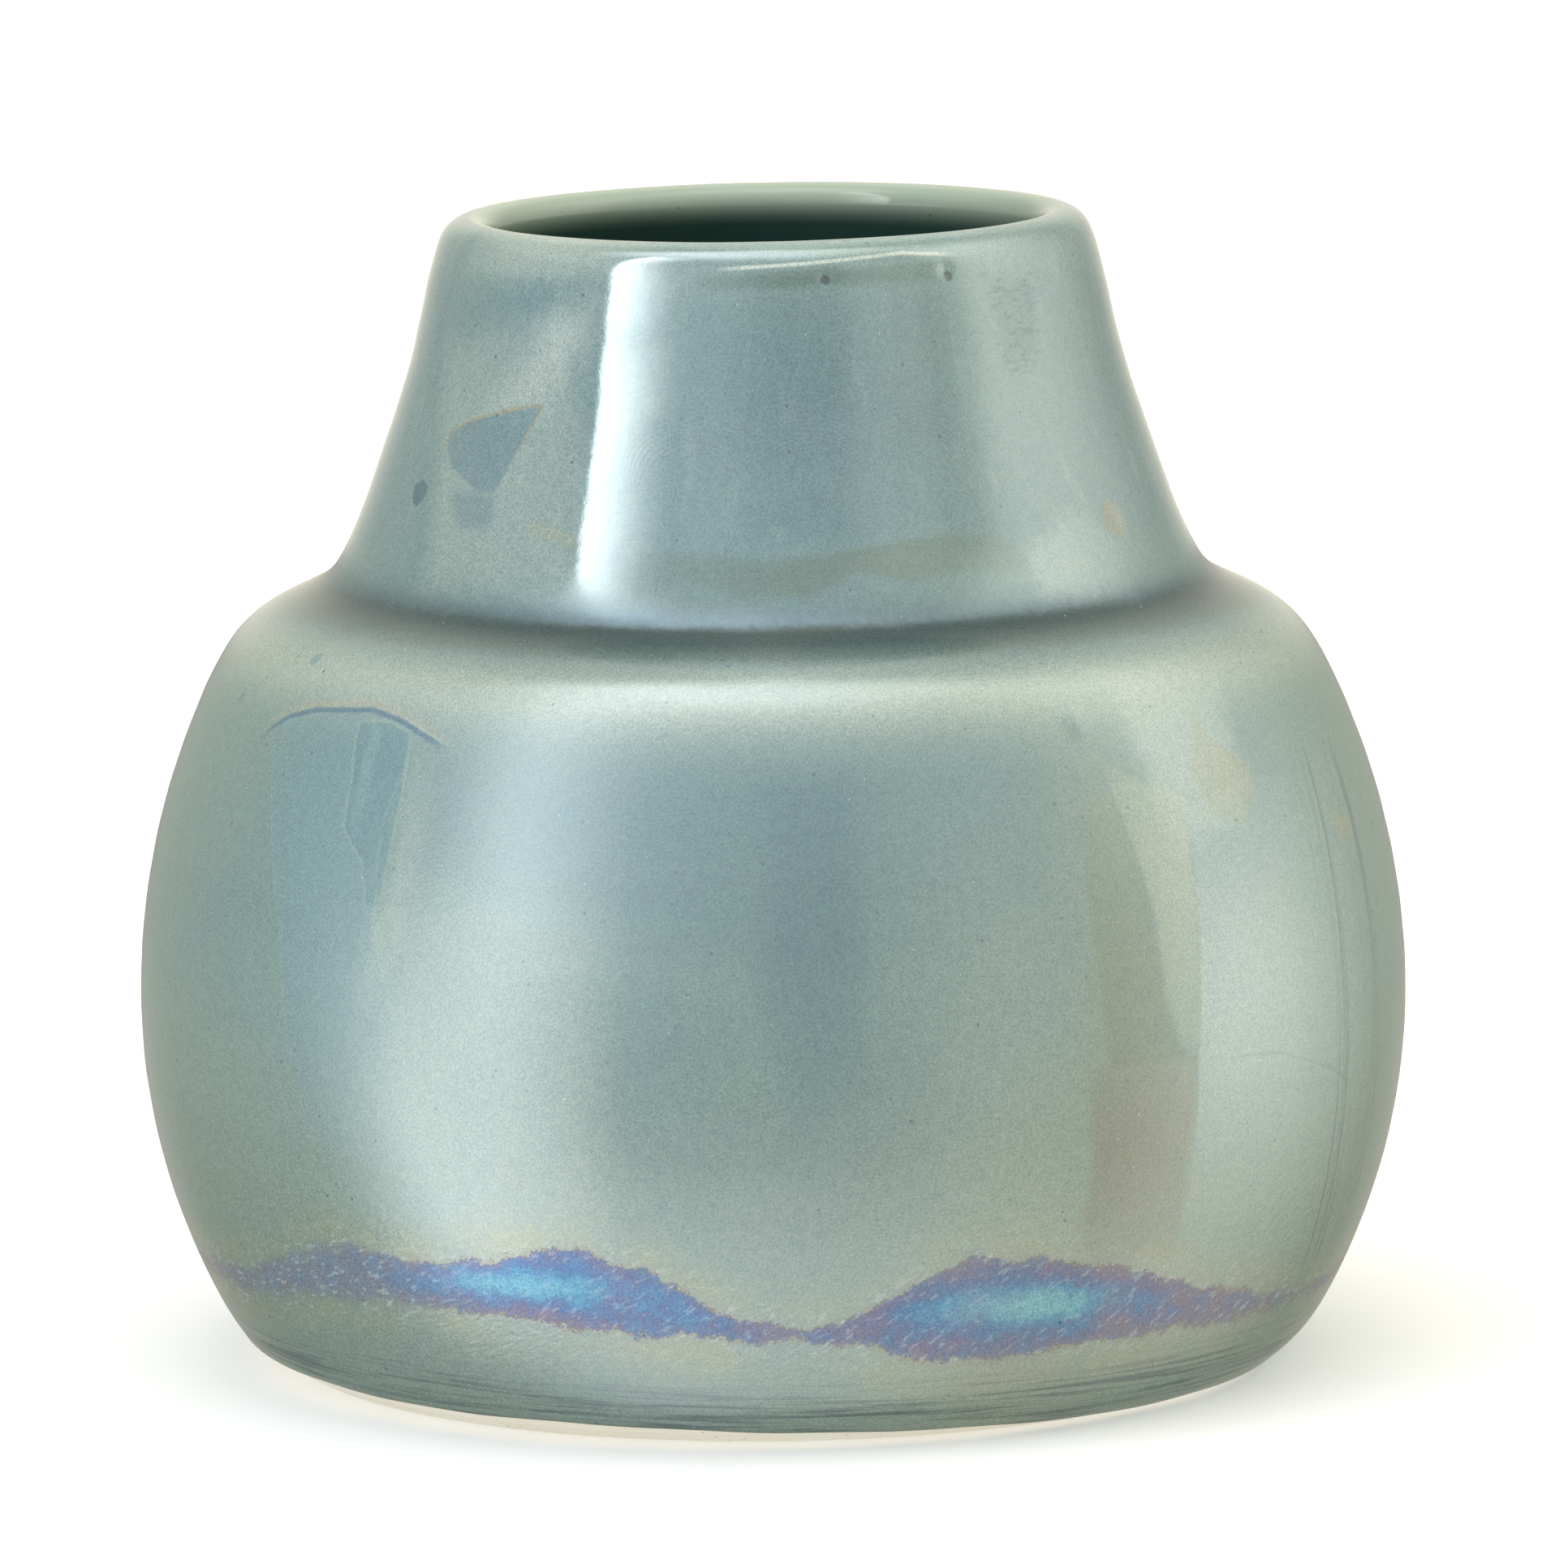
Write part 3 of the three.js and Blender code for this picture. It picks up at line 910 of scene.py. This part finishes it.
def glaze_colour(s, middle):
    """The glaze's colour: clouded grey-green, with drips on the neck, dark in the groove from pooled glaze
    and painted shade, and pale on the shoulder and rim, where the shoulder's cream band is partly a painted
    highlight."""
    colour = (s.noise(38, 3) * 0.5 + 0.5).blend(GREY_GREEN, CELADON)
    colour = (middle.step(-0.1, 0.9) * 0.35).blend(colour, BLUE_GREY)
    streaks = s.noise(5, 3, s.stretched(1.0, 1.0, 0.12))
    colour = (streaks.step(0.1, 1.1) * 0.3).blend(colour, CELADON)
    colour = (s.height.step(94, 104) * 0.22).blend(colour, srgb(112, 150, 170))
    drips = s.noise(2.6, 3, s.stretched(1.0, 1.0, 0.07))
    on_neck = s.height.step(96, 104)
    colour = (drips.step(0.15, 0.9) * on_neck * 0.35).blend(colour, srgb(172, 192, 186))
    colour = (drips.step(-0.2, -0.9) * on_neck * 0.3).blend(colour, srgb(90, 124, 136))
    warm = s.height.step(56, 24) * 0.3 + s.azimuth.hump(24, 14) * s.height.step(88, 50) * 0.25
    colour = warm.blend(colour, WARM_GREY)
    # Partly the glaze's colour, partly a painted highlight: a cream band round the shoulder, where the light
    # from above falls.
    colour = (s.height.hump(86.6, 4.2) * 0.6).blend(colour, CREAM)
    side = s.azimuth.math("ABSOLUTE").step(45, 80) * s.height.step(90, 78) * 0.4
    colour = side.blend(colour, OLIVE_GREY)
    # Pooled glaze and painted shade: the groove darkened.
    colour = (s.height.hump(92.4, 2.6) * 0.85).blend(colour, POOLED_GLAZE_AND_SHADE)
    return (s.height.step(127, 135) * 0.2).blend(colour, PALE_RIM)


def fine_marks(s, colour):
    """The lines on the film and along its edges, a painted highlight line under the rim, creases, spots,
    prints, brush lines and fine specks.
    """
    crest = s.fact("crest")
    shown = s.fact("crest_strength")
    colour = (crest.band(-1.2, -0.2, 0.5) * shown * 0.4).blend(colour, srgb(186, 178, 150))
    colour = (line_at(crest, 0.42) * shown * 0.9).blend(colour, srgb(72, 112, 138))
    crack = line_at(s.fact("crack") + s.noise(4, 2) * 0.4, 0.25) * s.fact("crack_strength")
    colour = (crack * 0.4).blend(colour, srgb(126, 140, 118))
    patch_top = line_at(s.fact("neck_patch"), 0.3) * s.height.step(110, 113)
    colour = (patch_top * 0.6).blend(colour, srgb(176, 160, 122))
    # Painted highlight: a thin near-white line under the rim.
    rim_line = line_at(s.fact("rim_line"), 0.3) * s.fact("rim_line_strength")
    colour = (rim_line * 0.85).blend(colour, srgb(232, 240, 226))
    for name, strength in (("panel", 0.12), ("right_panel", 0.35), ("dagger", 0.25)):
        edge = line_at(s.fact(name) + s.noise(3, 2) * 0.15, 0.35) * s.fact(name + "_strength")
        colour = (edge * strength).blend(colour, srgb(196, 206, 190))
    creases = s.noise(0.45, 2, s.stretched(0.3, 0.3, 1.0)).step(0.0, 0.5) * s.fact("neck_mottle").step(-2, 1)
    colour = (creases * 0.75).blend(colour, srgb(54, 94, 90))
    colour = spotted(s, colour)
    colour = (fingerprints(s) * 0.34).blend(colour, srgb(92, 122, 132))
    colour = (brush_lines(s) * 0.72).blend(colour, srgb(52, 74, 84))
    spot, chance = s.cells(3.4)
    colour = (spot.step(0.075, 0.045) * chance.step(0.35, 0.4) * 0.75).blend(colour, SPECK)
    spot, chance = s.cells(2.3)
    return (spot.step(0.06, 0.03) * chance.step(0.5, 0.55) * 0.6).blend(colour, PINPOINT)


def line_at(depth, width):
    """A line along an edge, from how deep each place lies in the outline."""
    return depth.math("ABSOLUTE").step(width, width * 0.3)


def spotted(s, colour):
    """The small round spots, a little uneven."""
    for azimuth, height, radius, tint, strength in SPOTS:
        away = distance_from(s, azimuth, height) + s.noise(1.5, 1) * radius * 0.2
        colour = (away.step(radius, radius * 0.65) * strength).blend(colour, srgb(*tint))
    return colour


def distance_from(s, azimuth, height, below=0.0):
    """The distance in mm to the point of the outside at an azimuth and height, or to one below it."""
    a, r = math.radians(azimuth), float(radius_at(height))
    point = (r * math.sin(a), -r * math.cos(a), height - below)
    return s.start.node("ShaderNodeVectorMath", {0: s.place, 1: point}, output=1, operation="DISTANCE")


def fingerprints(s):
    """The ridges of fingerprints, 1 along a ridge and 0 between them."""
    marks, wobble = Term(s.tree, 0.0), s.noise(6, 1) * 0.5
    for azimuth, height, reach in PRINTS:
        away = distance_from(s, azimuth, height, below=reach)
        wave = ((away + wobble) * (2 * math.pi / RIDGE_MM)).math("SINE") * 0.5 + 0.5
        marks = marks.most(wave * away.hump(reach, reach * 0.5) * s.height.step(height - reach, height))
    return marks


def brush_lines(s):
    """Fine dark strokes that run round the foot, and a few that run up the right-hand side."""
    spiral = s.height + s.azimuth * 0.012
    round_foot = s.start.node("ShaderNodeCombineXYZ", {0: s.azimuth * 0.02, 1: 0.0, 2: spiral})
    foot = s.noise(0.5, 3, round_foot, 0.7).step(-0.12, 0.36) * s.height.step(10.5, 5.0)
    foot = foot * s.noise(15, 2).step(-0.9, 0.2)
    lean = s.azimuth + (s.height - 42).math("POWER", 2) * -0.0018
    upward = s.start.node("ShaderNodeCombineXYZ", {0: lean, 1: 0.0, 2: s.height * 0.004})
    side = s.noise(0.55, 2, upward, 0.6).step(0.0, 0.5) * s.azimuth.band(59, 71, 2) * s.height.band(14, 75, 6)
    return foot.most(side * 0.8)


def glints(s):
    """Slanting ripples in the thick film, which catch the light as short glints; blue_band also paints them
    pale.
    """
    slant = {0: s.place, 3: math.radians(GLINT_SLANT)}
    slanted = s.start.node("ShaderNodeVectorRotate", slant, rotation_type="Y_AXIS")
    drawn = s.start.node("ShaderNodeVectorMath", {0: slanted, 1: (0.35, 0.35, 1.0)}, operation="MULTIPLY")
    return s.noise(0.55, 2, drawn) * s.height.band(9, 29, 5)


def liner_material():
    """Dark glossy grey-green glaze, with a painted highlight near the lip that is weaker to the right."""
    s = Surface("liner_glaze")
    colour = (s.noise(20, 3) * 0.5 + 0.5).blend(DEEP_TEAL, srgb(54, 84, 76))
    # Painted highlight: the lip and the top of the inner wall paler, least round to the right.
    painted_lip_highlight = s.height.step(130.6, 134.5) * (s.azimuth.hump(70, 40) * -0.35 + 0.75)
    colour = painted_lip_highlight.blend(colour, PALE_RIM)
    spot, chance = s.cells(3.0)
    colour = (spot.step(0.08, 0.05) * chance.step(0.4, 0.45) * 0.6).blend(colour, srgb(30, 48, 48))
    s.set(Base_Color=colour, Roughness=s.noise(4, 2) * 0.01 + 0.1, IOR=1.5)
    s.set(Normal=s.bump(s.noise(2.2, 2) * 0.004))
    return s.material


def clay_material():
    """Bare fired stoneware: cream, sandy, with dark iron specks and turning lines."""
    s = Surface("bare_clay")
    colour = (s.noise(14, 3) * 0.5 + 0.5).blend(srgb(244, 236, 214), srgb(250, 246, 232))
    colour = (s.noise(0.5, 3).step(0.2, 1.0) * 0.4).blend(colour, srgb(196, 182, 152))
    spot, chance = s.cells(1.7)
    colour = (spot.step(0.12, 0.07) * chance.step(0.6, 0.65) * 0.7).blend(colour, srgb(120, 96, 70))
    lines = s.noise(0.35, 2, s.stretched(0.03, 0.03, 1.0))
    s.set(Base_Color=colour, Roughness=s.noise(1, 2) * 0.05 + 0.82)
    s.set(Normal=s.bump(s.noise(0.3, 3) * 0.02 + lines * 0.01))
    return s.material


def floor_material():
    s = Surface("pale_floor")
    colour = (s.noise(300, 2) * 0.5 + 0.5).blend((0.92, 0.92, 0.93), (0.94, 0.94, 0.95))
    s.set(Base_Color=colour, Roughness=0.9, Specular_IOR_Level=0.1)
    s.set(Emission_Color=(1.0, 1.0, 1.0), Emission_Strength=0.2)
    return s.material


# ---------------------------------------------------------------- studio

# How bright the room is, above and below, and each light in it
ROOM_LIGHT = 0.5
LOW_ROOM_LIGHT = 0.17
WINDOW_LIGHT = 5.0
LOW_LIGHT = 1.25
TOP_LIGHT = 1.85
SIDE_LIGHT = 1.15
CARD_LIGHT = 0.33
HIGH_LIGHT = 0.22
BACK_LIGHT = 0.45
TABLE_LIGHT = 0.86
COOL = (0.98, 1.0, 1.0)
WARM = (1.0, 0.96, 0.82)


def make_room():
    """Soft studio light from all round, painted by direction: a tall softbox to the left, one overhead, and
    pale cards and a pale table. The camera itself sees white."""
    world = bpy.data.worlds.new("studio")
    bpy.context.scene.world = world
    world.use_nodes = True
    tree = world.node_tree
    tree.nodes.clear()
    heading = tree.nodes.new("ShaderNodeTexCoord").outputs["Generated"]
    start = Term(tree, heading)
    axes = start.node("ShaderNodeSeparateXYZ", {0: heading}).source.node.outputs
    x, y, z = (Term(tree, axis) for axis in axes)
    azimuth = x.math("ARCTAN2", -y) * math.degrees(1)
    height = z.least(1.0).most(-1.0).math("ARCSINE") * math.degrees(1)
    fade = (azimuth + height.step(20, 44) * 9).step(-20, -58)
    window = (azimuth + height * 0.2).step(-55, -53) * fade * (fade * 0.85 + 0.15)
    window = window + azimuth.hump(-20, 14) * height.band(6, 34, 12) * 0.06
    window = window * height.step(-52, -26) * height.step(64, 56) * (height.step(4, 18) * 0.6 + 0.4)
    low = azimuth.step(-92, -72) * azimuth.step(-44, -58) * height.step(16, 4) * height.step(-54, -36)
    low = low * (height.step(4, -30) * 0.4 + 1.0)
    top = height.step(48, 76) * (-y).step(-0.25, 0.02) * (x * -0.9 + 0.95)
    side = azimuth.step(56, 84) * azimuth.step(150, 92) * height.step(-78, -20) * height.step(70, 45)
    card = azimuth.step(20, 38) * azimuth.step(70, 50) * height.step(-40, -4) * height.step(52, 26)
    around = azimuth.math("ABSOLUTE")
    back = around.step(140, 176) * height.step(-60, -10)
    table = height.step(-8, -46) * height.step(-90, -62) * around.step(90, 45)
    table = table * (azimuth.step(20, -30) * 0.35 + 1.0)
    light = window * WINDOW_LIGHT + low * LOW_LIGHT + top * TOP_LIGHT + side * SIDE_LIGHT
    light = light + back * BACK_LIGHT + table * TABLE_LIGHT + card * CARD_LIGHT
    light = light + height.step(24, 38) * HIGH_LIGHT
    light = light + height.step(-28, -4) * (ROOM_LIGHT - LOW_ROOM_LIGHT) + LOW_ROOM_LIGHT
    tone = azimuth.step(8, 70).most(azimuth.step(-80, -120)).blend(COOL, WARM)
    seen = Term(tree, tree.nodes.new("ShaderNodeLightPath").outputs["Is Camera Ray"])
    tone = seen.blend(tone, WHITE)
    strength = light * (seen * -1.0 + 1.0) + seen
    shade = start.node("ShaderNodeBackground", {0: tone, 1: strength})
    out = tree.nodes.new("ShaderNodeOutputWorld")
    tree.links.new(shade.source, out.inputs["Surface"])


def make_floor():
    mesh = bpy.data.meshes.new("floor")
    size = 2.5
    corners = [(-size, -size, 0), (size, -size, 0), (size, size, 0), (-size, size, 0)]
    mesh.from_pydata(corners, [], [(0, 1, 2, 3)])
    floor = bpy.data.objects.new("floor", mesh)
    floor.location.z = -0.0001
    bpy.context.scene.collection.objects.link(floor)
    mesh.materials.append(floor_material())
    floor.visible_glossy = floor.visible_diffuse = floor.visible_shadow = False


def make_camera():
    """Looks from just above the vase's middle, a little turned about its own axis, as the photograph does."""
    camera = bpy.data.objects.new("camera", bpy.data.cameras.new("camera"))
    camera.data.lens = CAMERA_LENS
    camera.data.clip_end = 20
    place, aim = Vector(CAMERA_PLACE), Vector(CAMERA_AIM)
    level = (aim - place).to_track_quat("-Z", "Y").to_matrix().to_4x4()
    roll = Matrix.Rotation(-math.radians(CAMERA_ROLL), 4, "Z")
    camera.matrix_world = Matrix.Translation(place) @ level @ roll
    bpy.context.scene.collection.objects.link(camera)
    bpy.context.scene.camera = camera


def main():
    make_camera()
    make_room()
    make_floor()
    outer, liner = make_glazes()
    mark_lustre(outer)
    outer.data.materials.append(lustre_material())
    liner.data.materials.append(liner_material())
    clay = clay_material()
    for piece in (make_foot_ring(), make_belly(), make_neck()):
        piece.data.materials.append(clay)
    bpy.context.scene.view_settings.view_transform = "Standard"


main()
